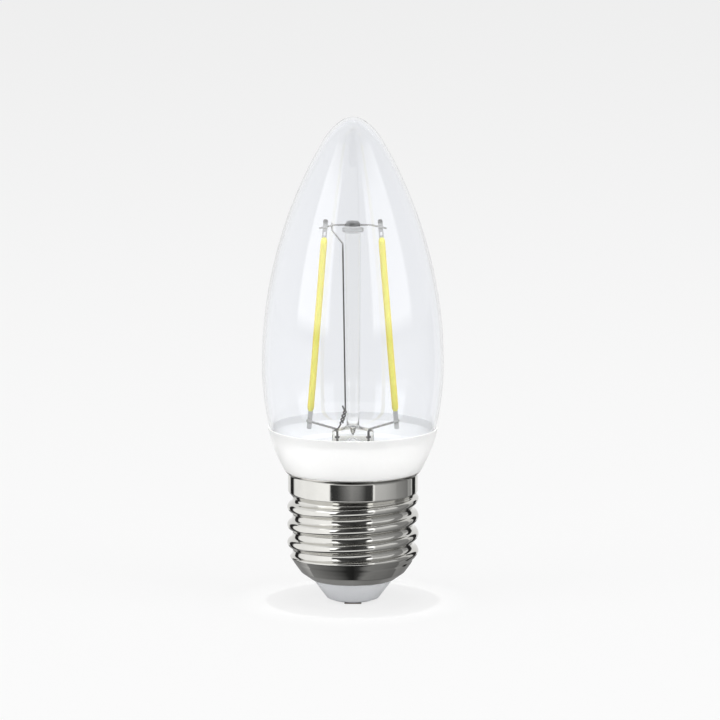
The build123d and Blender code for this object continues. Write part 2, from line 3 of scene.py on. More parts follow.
import bmesh
import bpy
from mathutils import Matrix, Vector


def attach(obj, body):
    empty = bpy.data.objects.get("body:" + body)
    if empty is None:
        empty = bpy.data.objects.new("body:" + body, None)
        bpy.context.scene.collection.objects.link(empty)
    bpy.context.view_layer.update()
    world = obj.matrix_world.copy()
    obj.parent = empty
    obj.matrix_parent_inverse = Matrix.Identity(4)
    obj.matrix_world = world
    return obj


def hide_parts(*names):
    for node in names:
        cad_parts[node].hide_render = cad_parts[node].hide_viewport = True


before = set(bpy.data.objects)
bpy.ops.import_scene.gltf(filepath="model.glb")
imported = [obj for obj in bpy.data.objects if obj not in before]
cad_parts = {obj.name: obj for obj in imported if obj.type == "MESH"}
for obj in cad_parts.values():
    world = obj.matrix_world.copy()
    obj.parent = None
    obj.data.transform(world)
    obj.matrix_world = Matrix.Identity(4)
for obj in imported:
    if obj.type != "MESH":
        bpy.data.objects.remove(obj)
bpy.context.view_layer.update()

# Centre contact: a rivet of tinned brass, turned from rod. Its flat head meets the spring of the lamp
# holder, and its shank goes up through the insulator and is spread there. A tongue of brass strip runs
# from the head to the front of the foot.
MM = 0.001
METAL = {"Metallic": 1.0}
# edges that bend by more than this stay sharp
SHARP = math.radians(50)


def linear(code):
    """Linear colour of an sRGB hex value."""
    shares = [int(code[i : i + 2], 16) / 255 for i in (1, 3, 5)]
    return [s / 12.92 if s <= 0.04045 else ((s + 0.055) / 1.055) ** 2.4 for s in shares] + [1.0]


def add(tree, kind, links=None, **settings):
    """Adds a node with its settings; links gives each socket a value, the socket that feeds it, or a node
    whose first output feeds it."""
    made = tree.nodes.new(kind)
    for setting, value in settings.items():
        setattr(made, setting, value)
    for socket, source in (links or {}).items():
        if isinstance(source, bpy.types.Node):
            source = source.outputs[0]
        if isinstance(source, bpy.types.NodeSocket):
            tree.links.new(source, made.inputs[socket])
        else:
            made.inputs[socket].default_value = source
    return made


def grained(name, pale, dark, grain, gloss, relief, even=None):
    """A finish whose colour, gloss and surface vary with a grain of the given size in millimetres. The
    relief is in millimetres too, and even gives the values that are the same all over."""
    made = bpy.data.materials.new(name)
    made.use_nodes = True
    tree = made.node_tree
    surface = tree.nodes["Principled BSDF"]
    place = add(tree, "ShaderNodeTexCoord")
    grains = add(
        tree,
        "ShaderNodeTexNoise",
        {"Vector": place.outputs["Object"], "Scale": 1 / (grain * MM), "Detail": 3.0},
    )
    share = grains.outputs["Fac"]
    # sockets 6 and 7 of a mix are its two colours
    tone = add(tree, "ShaderNodeMix", {0: share, 6: linear(dark), 7: linear(pale)}, data_type="RGBA")
    sheen = add(tree, "ShaderNodeMapRange", {"Value": share, "To Min": gloss[0], "To Max": gloss[1]})
    ripple = add(tree, "ShaderNodeBump", {"Height": share, "Distance": relief * MM})
    tree.links.new(tone.outputs[2], surface.inputs["Base Color"])
    tree.links.new(sheen.outputs[0], surface.inputs["Roughness"])
    tree.links.new(ripple.outputs[0], surface.inputs["Normal"])
    for socket, value in (even or {}).items():
        surface.inputs[socket].default_value = value
    return made


def rounded(corners, steps=6):
    """Points of a half section whose corners, given as (radius, height, rounding), are rounded off."""
    points = []
    for index, (r, z, rounding) in enumerate(corners):
        here = Vector((r, z))
        if not rounding or index in (0, len(corners) - 1):
            points.append((r, z))
            continue
        back = (Vector(corners[index - 1][:2]) - here).normalized()
        onward = (Vector(corners[index + 1][:2]) - here).normalized()
        half = back.angle(onward) / 2
        centre = here + (back + onward).normalized() * (rounding / math.sin(half))
        first = here + back * (rounding / math.tan(half)) - centre
        last = here + onward * (rounding / math.tan(half)) - centre
        for step in range(steps + 1):
            spoke = (first * (steps - step) + last * step).normalized() * rounding
            points.append(tuple(centre + spoke))
    return points


def turned(name, section, finish, steps=128, cavity=None):
    """A piece turned about the axis from (radius, height) points in millimetres. A third number makes the
    ring an oval of that depth, a fourth one above 2 flattens its faces, points on the axis are poles, and a
    cavity's faces look inwards."""
    pole = 1e-6
    body = bmesh.new()
    for points, inwards in ((section, False), (cavity or [], True)):
        rings = []
        for point in points:
            r, z, depth, square = (*point, point[0], 2.0)[:4] if len(point) < 4 else point
            ring = []
            for k in range(steps if r > pole else 1):
                c, s = math.cos(2 * math.pi * k / steps), math.sin(2 * math.pi * k / steps)
                x = math.copysign(abs(c) ** (2 / square), c) * r
                y = math.copysign(abs(s) ** (2 / square), s) * depth
                ring.append(body.verts.new((x * MM, y * MM, z * MM)))
            rings.append(ring)
        nexts = rings[1:] + (rings[:1] if points and points[0][0] > pole else [])
        faces = []
        for low, high in zip(rings, nexts):
            for k in range(steps):
                corners = [low[k % len(low)], low[(k + 1) % len(low)]]
                corners += [high[(k + 1) % len(high)], high[k % len(high)]]
                corners = list(dict.fromkeys(corners))
                if len(corners) > 2:
                    faces.append(body.faces.new(corners))
        bmesh.ops.recalc_face_normals(body, faces=faces)
        if inwards:
            bmesh.ops.reverse_faces(body, faces=faces)
    mesh = bpy.data.meshes.new(name)
    body.to_mesh(mesh)
    body.free()
    mesh.shade_smooth()
    mesh.set_sharp_from_angle(angle=SHARP)
    mesh.materials.append(finish)
    piece = bpy.data.objects.new(name, mesh)
    bpy.context.scene.collection.objects.link(piece)
    return piece


def fitted(piece, slot, *nodes):
    """Puts a finished piece on the lamp in place of the solids that it stands for."""
    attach(piece, "root")
    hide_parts(*nodes)


contact_section = rounded(
    [
        (0, 0, 0),
        (1.7, 0, 0.12),
        (1.7, 0.3, 0.0),
        (2.9, 0.33, 0.0),
        (2.9, 0.45, 0.0),
        (0.9, 0.46, 0.0),
        (0.9, 6.5, 0.0),
        (0.7, 6.87, 0.1),
        (0, 6.87, 0),
    ]
)
# Tin over brass: satin, and tarnished brown where the bare brass shows through
tinned_brass = grained(
    "tarnished_tin", "#8D8276", "#5F564D", grain=0.25, gloss=(0.3, 0.5), relief=0.01, even=METAL
)
contact = turned("contact_rivet", contact_section, tinned_brass, steps=64)
tongue_width, tongue_length, tongue_thickness = 3.4, 4.0, 0.22
tongue_ahead, tongue_height, tongue_edge = 2.1, 0.14, 0.03
body = bmesh.new()
body.from_mesh(contact.data)
tongue = bmesh.ops.create_cube(body, size=1.0)["verts"]
for corner in tongue:
    x, y, z = corner.co
    corner.co = (
        x * tongue_width * MM,
        (y * tongue_length - tongue_ahead) * MM,
        (z * tongue_thickness + tongue_height) * MM,
    )
rims = list(dict.fromkeys(edge for corner in tongue for edge in corner.link_edges))
bmesh.ops.bevel(body, geom=rims, offset=tongue_edge * MM, segments=2, affect="EDGES")
body.to_mesh(contact.data)
body.free()
fitted(contact, "contact_metal", "centre_contact")

# Insulator: a cone of pale grey PBT, injection moulded. The mouth of the shell holds it by its flange, and
# a low step runs round its foot.
insulator_section = rounded(
    [
        (0.95, 0.47, 0),
        (2.92, 0.46, 0.0),
        (2.92, 0.32, 0.0),
        (1.74, 0.31, 0.0),
        (1.74, 0.27, 0.0),
        (4.15, 0.27, 0.12),
        (4.35, 0.52, 0.08),
        (5.2, 0.64, 0.4),
        (8.15, 4.6, 0.0),
        (8.15, 4.8, 0.0),
        (9.3, 5.67, 0.1),
        (9.3, 6.47, 0.1),
        (0.95, 6.47, 0),
    ]
)
# PBT: pale grey and satin, with a faint grain from the mould, drawn coarser than it is so that it shows
grey_pbt = grained(
    "grey_moulded_pbt",
    "#DDDEE1",
    "#D5D7DA",
    grain=0.35,
    gloss=(0.28, 0.36),
    relief=0.003,
    even={"IOR": 1.57},
)
insulator = turned("insulator_cone", insulator_section, grey_pbt)
fitted(insulator, "insulator_plastic", "insulator")

# Screw shell: brass sheet 0.3 mm thick, drawn to a cup, rolled to the thread and then nickel plated. Its
# mouth grips the insulator and its rim is pressed round the collar's spigot.
sheet = 0.3
shell_steps = 224
thread_sizes = {
    "Pitch": 3.629 * MM,
    "Depth": 1.1 * MM,
    "Arc radius": 1.0233 * MM,
    "Root radius": 12.1 * MM,
    "Root blend": 0.2 * MM,
    "First crest": 10.13 * MM,
    "Foot height": 6.05 * MM,
    "Foot radius": 10.5 * MM,
    "Foot slope": 0.7,
    "Foot run-in": 1.2 * MM,
    "Foot blend": 0.5 * MM,
    "Band height": 22.5 * MM,
    "Band run-out": 1.5 * MM,
}
blank_outside = rounded(
    [
        (8.2, 4.62, 0),
        (8.5, 4.62, 0.12),
        (10.5, 6.05, 1.6),
        (12.1, 8.336, 1.5),
        (12.1, 21.3, 0.5),
        (13.05, 22.5, 0.45),
        (13.05, 26.1, 0.5),
        (13.62, 26.6, 0.06),
        (13.62, 26.76, 0.06),
        (12.75, 26.76, 0),
    ]
)
blank_inside = [
    (12.75, 22.62),
    (11.8, 21.42),
    (11.8, 8.5),
    (10.2, 6.2),
    (8.2, 4.77),
]


def spaced(points, gap):
    """The same line with extra points, no further apart than the given gap."""
    closer = [points[0]]
    for before, after in zip(points, points[1:]):
        run = math.dist(before, after)
        parts = max(1, math.ceil(run / gap))
        for part in range(1, parts + 1):
            share = part / parts
            closer.append(tuple(b + (a - b) * share for b, a in zip(before, after)))
    return closer


outside = spaced(blank_outside, gap=0.09)
inside = spaced(blank_inside, gap=0.25)

# Nickel plate: a bright mirror with soft clouding, and faint lines round the axis from the rolling, drawn
# further apart than they are so that they show
nickel_plate = grained(
    "nickel_plated_brass", "#D5D4D0", "#C8C7C3", grain=2.5, gloss=(0.05, 0.11), relief=0.0, even=METAL
)
line_gap, line_relief = 0.12, 0.0006
tree = nickel_plate.node_tree
place = add(tree, "ShaderNodeTexCoord")
# the lines run round the shell, so only the height moves their pattern
split = add(tree, "ShaderNodeSeparateXYZ", {0: place.outputs["Object"]})
level = add(tree, "ShaderNodeCombineXYZ", {2: split.outputs[2]})
lines = add(tree, "ShaderNodeTexNoise", {"Vector": level, "Scale": 1 / (line_gap * MM), "Detail": 2.0})
ripple = add(tree, "ShaderNodeBump", {"Height": lines.outputs["Fac"], "Distance": line_relief * MM})
tree.links.new(ripple.outputs[0], tree.nodes["Principled BSDF"].inputs["Normal"])

shell = turned("screw_shell_sheet", outside + inside, nickel_plate, steps=shell_steps)
depths = shell.data.attributes.new("sheet_depth", "FLOAT", "POINT")
inner_start = len(outside) * shell_steps
for index, value in enumerate(depths.data):
    value.value = sheet * MM if index >= inner_start else 0.0


def new_tree(name, sizes):
    """An empty geometry tree with a named input for each size and one for the finish."""
    tree = bpy.data.node_groups.new(name, "GeometryNodeTree")
    tree.interface.new_socket("Geometry", in_out="INPUT", socket_type="NodeSocketGeometry")
    for size in sizes:
        tree.interface.new_socket(size, in_out="INPUT", socket_type="NodeSocketFloat")
    tree.interface.new_socket("Finish", in_out="INPUT", socket_type="NodeSocketMaterial")
    tree.interface.new_socket("Geometry", in_out="OUTPUT", socket_type="NodeSocketGeometry")
    return tree, add(tree, "NodeGroupInput").outputs


def shaped(piece, tree, sizes, finish):
    """Runs a geometry tree on a piece with the given sizes and keeps the result as its plain mesh."""
    modifier = piece.modifiers.new(tree.name, "NODES")
    modifier.node_group = tree
    for socket in tree.interface.items_tree:
        if socket.in_out == "INPUT" and socket.name in sizes:
            modifier[socket.identifier] = sizes[socket.name]
        elif socket.in_out == "INPUT" and socket.name == "Finish":
            modifier[socket.identifier] = finish
    seen = piece.evaluated_get(bpy.context.evaluated_depsgraph_get())
    mesh = bpy.data.meshes.new_from_object(seen)
    piece.modifiers.clear()
    piece.data = mesh
    return piece


# The thread: at each point of the blank, the radius follows a round ridge that climbs by one pitch a turn.
# It runs out in the foot's cone below and in the band's shoulder above.
thread, size = new_tree("rolled_thread", thread_sizes)
spot = add(thread, "GeometryNodeInputPosition")
across, ahead, height = add(thread, "ShaderNodeSeparateXYZ", {0: spot}).outputs
flat = add(thread, "ShaderNodeCombineXYZ", {0: across, 1: ahead})
reach = add(thread, "ShaderNodeVectorMath", {0: flat}, operation="LENGTH").outputs["Value"]
skin = add(thread, "GeometryNodeInputNamedAttribute", {0: "sheet_depth"}, data_type="FLOAT")
outer = add(thread, "ShaderNodeMath", {0: reach, 1: skin}, operation="ADD")
angle = add(thread, "ShaderNodeMath", {0: ahead, 1: across}, operation="ARCTAN2")
climb = add(thread, "ShaderNodeMath", {0: height, 1: size["First crest"]}, operation="SUBTRACT")
turns = add(thread, "ShaderNodeMath", {0: climb, 1: size["Pitch"]}, operation="DIVIDE")
bearing = add(thread, "ShaderNodeMath", {0: angle, 1: 2 * math.pi}, operation="DIVIDE")
travel = add(thread, "ShaderNodeMath", {0: turns, 1: bearing}, operation="SUBTRACT")
# crests and roots are equal arcs that meet halfway, so only the way to the nearer one counts
apart = add(thread, "ShaderNodeMath", {0: travel, 1: 0.5}, operation="PINGPONG")
from_crest = add(thread, "ShaderNodeMath", {0: apart, 1: size["Pitch"]}, operation="MULTIPLY")
half_pitch = add(thread, "ShaderNodeMath", {0: size["Pitch"], 1: 0.5}, operation="MULTIPLY")
from_root = add(thread, "ShaderNodeMath", {0: half_pitch, 1: from_crest}, operation="SUBTRACT")
nearer = add(thread, "ShaderNodeMath", {0: from_crest, 1: from_root}, operation="MINIMUM")
sine = add(thread, "ShaderNodeMath", {0: nearer, 1: size["Arc radius"]}, operation="DIVIDE")
slope = add(thread, "ShaderNodeMath", {0: sine}, operation="ARCSINE")
cosine = add(thread, "ShaderNodeMath", {0: slope}, operation="COSINE")
dip = add(thread, "ShaderNodeMath", {0: 1.0, 1: cosine}, operation="SUBTRACT")
sag = add(thread, "ShaderNodeMath", {0: dip, 1: size["Arc radius"]}, operation="MULTIPLY")
low = add(thread, "ShaderNodeMath", {0: sag, 1: size["Depth"]}, operation="DIVIDE")
high = add(thread, "ShaderNodeMath", {0: 1.0, 1: low}, operation="SUBTRACT")
crest = add(thread, "ShaderNodeMath", {0: from_crest, 1: from_root}, operation="LESS_THAN")
lift = add(thread, "ShaderNodeMix", {0: crest, 2: low, 3: high}, data_type="FLOAT")
# below the band the ridge fades away
run_out = add(
    thread,
    "ShaderNodeMath",
    {0: size["Band height"], 1: size["Band run-out"]},
    operation="SUBTRACT",
)
fade = add(
    thread,
    "ShaderNodeMapRange",
    {"Value": height, "From Min": run_out, "From Max": size["Band height"], "To Min": 1.0, "To Max": 0.0},
    interpolation_type="SMOOTHSTEP",
)
swell = add(thread, "ShaderNodeMath", {0: lift, 1: fade}, operation="MULTIPLY")
ridge = add(
    thread,
    "ShaderNodeMath",
    {0: swell, 1: size["Depth"], 2: size["Root radius"]},
    operation="MULTIPLY_ADD",
)
# above the foot the ridge goes no further out than the cone's side
rise = add(thread, "ShaderNodeMath", {0: height, 1: size["Foot height"]}, operation="SUBTRACT")
cone = add(
    thread,
    "ShaderNodeMath",
    {0: rise, 1: size["Foot slope"], 2: size["Foot radius"]},
    operation="MULTIPLY_ADD",
)
held = add(thread, "ShaderNodeMath", {0: ridge, 1: cone, 2: size["Foot blend"]}, operation="SMOOTH_MIN")
joined = add(thread, "ShaderNodeMath", {0: outer, 1: held, 2: size["Root blend"]}, operation="SMOOTH_MAX")
start = add(
    thread,
    "ShaderNodeMapRange",
    {"Value": rise, "From Min": 0.0, "From Max": size["Foot run-in"]},
    interpolation_type="SMOOTHSTEP",
)
stop = add(thread, "ShaderNodeMath", {0: height, 1: size["Band height"]}, operation="LESS_THAN")
share = add(thread, "ShaderNodeMath", {0: start, 1: stop}, operation="MULTIPLY")
threaded = add(thread, "ShaderNodeMix", {0: share, 2: outer, 3: joined}, data_type="FLOAT")
# the inside of the sheet follows its outside
drawn = add(thread, "ShaderNodeMath", {0: threaded, 1: skin}, operation="SUBTRACT")
growth = add(thread, "ShaderNodeMath", {0: drawn, 1: reach}, operation="DIVIDE")
wide = add(thread, "ShaderNodeCombineXYZ", {0: growth, 1: growth, 2: 1.0})
moved = add(thread, "ShaderNodeVectorMath", {0: spot, 1: wide}, operation="MULTIPLY")
rolled = add(thread, "GeometryNodeSetPosition", {"Geometry": size["Geometry"], "Position": moved})
whole = add(thread, "GeometryNodeRealizeInstances", {0: rolled})
plated = add(thread, "GeometryNodeSetMaterial", {"Geometry": whole, "Material": size["Finish"]})
add(thread, "NodeGroupOutput", {0: plated})
shaped(shell, thread, thread_sizes, nickel_plate)
fitted(shell, "nickel_plate", "screw_shell")

# Driver: a round board of glass cloth and epoxy, held against the collar's spigot, with the rectifier and
# the driver chip soldered on top, the capacitor and the fusible resistor below and a bare neutral wire.


def finish_solid(node, finish):
    """Gives a solid that is shown as it is its finish."""
    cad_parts[node].data.materials.clear()
    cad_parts[node].data.materials.append(finish)


# Epoxy laminate: pale buff and matt, mottled by the cloth inside
laminate = grained("epoxy_laminate", "#E8E3CE", "#D2CBB0", grain=0.5, gloss=(0.35, 0.5), relief=0.004)
finish_solid("driver_board", laminate)
# Epoxy moulding compound: black with a matt, slightly sandy skin, its sand drawn coarser than it is
moulding = grained("epoxy_moulding", "#232427", "#161719", grain=0.15, gloss=(0.45, 0.65), relief=0.004)
finish_solid("bridge_rectifier", moulding)
finish_solid("driver_chip", moulding)
# PVC sleeve: a dark blue film shrunk on by heat, smooth and glossy
sleeve = grained("pvc_sleeve", "#262C3D", "#1D2231", grain=1.5, gloss=(0.2, 0.32), relief=0.003)
finish_solid("smoothing_capacitor", sleeve)
# Resistor lacquer: a grey green dipped coat, half glossy and a little uneven
lacquer = grained("resistor_lacquer", "#8FAFA2", "#7C9C90", grain=0.4, gloss=(0.25, 0.4), relief=0.005)
finish_solid("fuse_resistor", lacquer)
# Nickel wire: drawn and bright, slightly clouded by handling
nickel_wire = grained(
    "drawn_nickel", "#BDBCBA", "#A4A3A1", grain=0.3, gloss=(0.2, 0.34), relief=0.002, even=METAL
)
finish_solid("neutral_wire", nickel_wire)

# Collar: white PBT, injection moulded. Its outside carries on the line of the glass, its seat holds the
# hip of the bulb, and its spigot goes down into the screw shell.


def arc(centre, radius, start, end, steps):
    """Points on an arc from one angle to another, in degrees."""
    points = []
    for step in range(steps + 1):
        turn = math.radians(start + (end - start) * step / steps)
        points.append((centre[0] + radius * math.cos(turn), centre[1] + radius * math.sin(turn)))
    return points


collar_side = arc(centre=(-14.35, 42.776), radius=32.28, start=-13.4, end=-29.3, steps=24)
collar_section = rounded(
    [
        (16.81, 35.5, 0),
        (17.1, 35.5, 0.1),
        *[(r, z, 0) for r, z in collar_side],
        (13.7, 26.8, 0.22),
        (11.75, 26.8, 0.0),
        (11.75, 14.77, 0.1),
        (10.65, 14.77, 0.1),
        (10.65, 27.7, 0.3),
        (12.81, 30.87, 0.3),
        (14.32, 31.46, 0.3),
        (16.43, 33.91, 0.3),
        (16.8, 35.4, 0.0),
    ]
)
# Collar plastic: a bright white with a soft gloss, the faint grain of a spark-eroded mould, drawn coarser
# than it is, and light that spreads a few millimetres under its skin
collar_plastic = grained(
    "white_moulded_pbt",
    "#F4F4F3",
    "#F0F0EF",
    grain=0.3,
    gloss=(0.36, 0.46),
    relief=0.003,
    even={
        "IOR": 1.57,
        "Subsurface Weight": 0.5,
        "Subsurface Radius": (1.0, 1.0, 1.0),
        "Subsurface Scale": 3.0 * MM,
    },
)
collar = turned("collar_moulding", collar_section, collar_plastic, steps=160)
fitted(collar, "white_plastic", "collar")

# Stem: lead glass. A flared tube is fused to the bulb's neck, its upper end is pressed flat round the
# leads with a small hollow left in it, and a rod rises from the press to a button with a crown, where the
# top wire is melted in. The thin tube below the press let the gas in and is sealed by flame.


def clear_glass(name, tint, wave, gloss):
    """Clear glass with a faint tint and low waves of the given length in millimetres. It lets lamps
    through, so that what it holds is lit."""
    wave_height = 0.004
    made = bpy.data.materials.new(name)
    made.use_nodes = True
    tree = made.node_tree
    surface = tree.nodes["Principled BSDF"]
    surface.inputs["Roughness"].default_value = gloss
    surface.inputs["IOR"].default_value = 1.5
    surface.inputs["Transmission Weight"].default_value = 1.0
    surface.inputs["Base Color"].default_value = linear(tint)
    place = add(tree, "ShaderNodeTexCoord")
    waves = add(
        tree,
        "ShaderNodeTexNoise",
        {"Vector": place.outputs["Object"], "Scale": 1 / (wave * MM), "Detail": 0.0},
    )
    ripple = add(tree, "ShaderNodeBump", {"Height": waves.outputs["Fac"], "Distance": wave_height * MM})
    tree.links.new(ripple.outputs[0], surface.inputs["Normal"])
    rays = add(tree, "ShaderNodeLightPath")
    open_way = add(tree, "ShaderNodeBsdfTransparent")
    either = add(tree, "ShaderNodeMixShader", {0: rays.outputs["Is Shadow Ray"], 1: surface, 2: open_way})
    tree.links.new(either.outputs[0], tree.nodes["Material Output"].inputs["Surface"])
    return made


stem_outside = rounded(
    [
        (9.5, 25.7, 0),
        (10.6, 25.7, 0.2),
        (10.6, 26.5, 0.1),
        (9.5, 26.5, 0.8),
        (4.3, 30.2, 0.6),
        (4.3, 30.6, 0),
    ]
)
stem_inside = [
    (0, 33.4),
    (0.35, 33.3, 0.3, 2.0),
    (0.9, 32.95, 0.65, 2.0),
    (1.9, 32.5, 0.95, 2.0),
    (2.9, 32.2, 1.2, 2.5),
    (3.3, 31.7, 1.2, 2.5),
    (3.5, 30.9, 2.4, 2.5),
    (3.6, 30.2, 3.5, 2.0),
    (9.5, 25.72),
]
press_side = [
    (4.3, 30.6, 4.3, 2.0),
    (4.3, 30.9, 3.7, 2.4),
    (4.28, 31.3, 2.6, 4.0),
    (4.24, 31.7, 1.9, 7.0),
    (4.2, 32.2, 1.65, 10.0),
]
press_top = [
    (4.15, 34.6, 1.6, 10.0),
    (4.0, 34.8, 1.6, 10.0),
    (3.1, 34.98, 1.6, 8.0),
    (2.3, 35.18, 1.55, 5.0),
    (1.7, 35.42, 1.45, 3.0),
    (1.36, 35.7, 1.36, 2.0),
]
press_pit = rounded([(0, 33.8, 0), (0.15, 33.86, 0.1), (0.74, 35.35, 0.15), (0, 35.75, 0)])
rod_foot, rod_head = (1.25, 35.9), (1.62, 74.3)
rod_side = spaced([rod_foot, rod_head], gap=1.93)
rod_top = [(1.62, 74.5), (1.6, 74.74), (0, 74.74)]
stem_section = stem_inside + stem_outside[1:-1] + press_side + press_top + rod_side + rod_top
# Lead glass: clear with hardly any grey, its faces left slightly wavy and soft by the flame
stem_glass = clear_glass("lead_glass", "#F9F9F8", wave=4.0, gloss=0.06)
stem = turned("glass_stem_pressed", stem_section, stem_glass, steps=96, cavity=press_pit)
fitted(stem, "stem_glass", "glass_stem")
button_section = rounded(
    [
        (0, 74.75, 0),
        (1.64, 74.75, 0.1),
        (2.15, 74.95, 0.25),
        (2.15, 75.65, 0.25),
        (1.6, 75.85, 0.15),
        (1.55, 76.1, 0.0),
        (0, 76.1, 0),
    ]
)
# Button: the rod's end, melted and pressed flat, full of fine seeds
button_glass = clear_glass("seedy_glass", "#F4F4F3", wave=4.0, gloss=0.35)
button = turned("stem_button", button_section, button_glass, steps=64)
fitted(button, "stem_glass", "glass_stem")
crown_section = rounded(
    [
        (0, 76.11, 0),
        (1.55, 76.11, 0.05),
        (1.52, 76.5, 0.3),
        (1.15, 77.0, 0.3),
        (0, 77.06, 0),
    ]
)
# Crown: glass with an even grey tint
crown_glass = clear_glass("grey_tinted_glass", "#C2C2C2", wave=4.0, gloss=0.35)
crown = turned("stem_crown", crown_section, crown_glass, steps=64)
fitted(crown, "stem_glass", "glass_stem")
exhaust_section = rounded(
    [
        (0, 18.47, 0),
        (0.9, 19.2, 0.5),
        (1.5, 20.3, 0.6),
        (1.5, 32.3, 0.0),
        (1.02, 32.3, 0.0),
        (1.0, 20.4, 0.4),
        (0, 19.1, 0),
    ]
)
exhaust = turned("exhaust_tube_sealed", exhaust_section, stem_glass, steps=48)
fitted(exhaust, "stem_glass", "exhaust_tube")

# Lead wires and top wire: drawn nickel. The leads come up through the press, each with a welded knot in the
# glass, and bend out to the filaments; the top wire lies across the button.


def toned(made, start, end, code):
    """Mixes another colour into a finish, from none of it at the start height to all of it at the end
    height, in millimetres."""
    tree = made.node_tree
    surface = tree.nodes["Principled BSDF"]
    tone = surface.inputs["Base Color"].links[0].from_socket
    place = add(tree, "ShaderNodeTexCoord")
    split = add(tree, "ShaderNodeSeparateXYZ", {0: place.outputs["Object"]})
    share = add(
        tree,
        "ShaderNodeMapRange",
        {"Value": split.outputs[2], "From Min": start * MM, "From Max": end * MM},
    )
    mixed = add(tree, "ShaderNodeMix", {0: share, 6: tone, 7: linear(code)}, data_type="RGBA")
    tree.links.new(mixed.outputs[2], surface.inputs["Base Color"])


finish_solid("top_wire", nickel_wire)
# Oxidised nickel: as bright as the other wire, but dark in the press, where the flame has left an oxide
lead_wire = grained(
    "oxidised_nickel", "#BDBCBA", "#A4A3A1", grain=0.3, gloss=(0.2, 0.34), relief=0.002, even=METAL
)
toned(lead_wire, start=35.2, end=34.7, code="#4A4846")
for node in ("lead_wire_left", "lead_wire_right"):
    finish_solid(node, lead_wire)

# Jumper: thin darkened wire hooked over the top wire. It runs down beside the rod, and its end is twisted
# round a short tail that is welded to the left lead.
wire_sizes = {
    "Wire radius": 0.16 * MM,
    "Bend radius": 0.5 * MM,
    "Point gap": 0.12 * MM,
    "Twist top": 38.75 * MM,
    "Twist foot": 36.4 * MM,
    "Twist turns": 1.6,
    "Ease outside": 0.45 * MM,
    "Ease inside": 0.1 * MM,
    "Strand offset": 0.31 * MM,
    "Strand phase": 0.0,
}
# Darkened wire: oxidised steel, dark grey with a dull sheen, turning pale towards its upper end
dark_wire = grained(
    "oxidised_steel", "#6A6865", "#4B4A48", grain=0.4, gloss=(0.3, 0.45), relief=0.003, even=METAL
)
toned(dark_wire, start=71.0, end=73.0, code="#B4B3B1")
# The wire: a tube along its route, with rounded bends. In the joint, both strands wind round one line.
twist, size = new_tree("twisted_wire", wire_sizes)
route = add(twist, "GeometryNodeMeshToCurve", {0: size["Geometry"]})
bent = add(
    twist,
    "GeometryNodeFilletCurve",
    {"Curve": route, "Radius": size["Bend radius"], "Count": 8, "Limit Radius": True},
    mode="POLY",
)
fine = add(twist, "GeometryNodeResampleCurve", {"Curve": bent, "Length": size["Point gap"]}, mode="LENGTH")
spot = add(twist, "GeometryNodeInputPosition")
height = add(twist, "ShaderNodeSeparateXYZ", {0: spot}).outputs[2]
along = add(
    twist,
    "ShaderNodeMapRange",
    {
        "Value": height,
        "From Min": size["Twist foot"],
        "From Max": size["Twist top"],
        "To Max": size["Twist turns"],
    },
    clamp=False,
)
circle = add(
    twist,
    "ShaderNodeMath",
    {0: along, 1: 2 * math.pi, 2: size["Strand phase"]},
    operation="MULTIPLY_ADD",
)
# the strands come together over a short stretch at both ends of the twist
inside_twist = 1.0
for end, outwards, inwards in (("Twist foot", "SUBTRACT", "ADD"), ("Twist top", "ADD", "SUBTRACT")):
    gone = add(twist, "ShaderNodeMath", {0: size[end], 1: size["Ease outside"]}, operation=outwards)
    full = add(twist, "ShaderNodeMath", {0: size[end], 1: size["Ease inside"]}, operation=inwards)
    ease = add(
        twist,
        "ShaderNodeMapRange",
        {"Value": height, "From Min": gone, "From Max": full},
        interpolation_type="SMOOTHSTEP",
    )
    inside_twist = add(twist, "ShaderNodeMath", {0: inside_twist, 1: ease}, operation="MULTIPLY")
swing = add(twist, "ShaderNodeMath", {0: inside_twist, 1: size["Strand offset"]}, operation="MULTIPLY")
cosine = add(twist, "ShaderNodeMath", {0: circle}, operation="COSINE")
sine = add(twist, "ShaderNodeMath", {0: circle}, operation="SINE")
sideways = add(twist, "ShaderNodeCombineXYZ", {0: cosine, 1: sine})
offset = add(twist, "ShaderNodeVectorMath", {0: sideways, "Scale": swing}, operation="SCALE")
wound = add(twist, "GeometryNodeSetPosition", {"Geometry": fine, "Offset": offset})
ring = add(twist, "GeometryNodeCurvePrimitiveCircle", {"Resolution": 12, "Radius": size["Wire radius"]})
tube = add(twist, "GeometryNodeCurveToMesh", {"Curve": wound, "Profile Curve": ring, "Fill Caps": True})
soft = add(twist, "GeometryNodeSetShadeSmooth", {"Geometry": tube})
whole = add(twist, "GeometryNodeRealizeInstances", {0: soft})
dulled = add(twist, "GeometryNodeSetMaterial", {"Geometry": whole, "Material": size["Finish"]})
add(twist, "NodeGroupOutput", {0: dulled})


def wire(name, points, phase):
    """A wire along a route of points in millimetres, twisted where the joint is."""
    mesh = bpy.data.meshes.new(name)
    places = [[c * MM for c in point] for point in points]
    mesh.from_pydata(places, [(i, i + 1) for i in range(len(points) - 1)], [])
    piece = bpy.data.objects.new(name, mesh)
    bpy.context.scene.collection.objects.link(piece)
    return shaped(piece, twist, {**wire_sizes, "Strand phase": phase}, dark_wire)


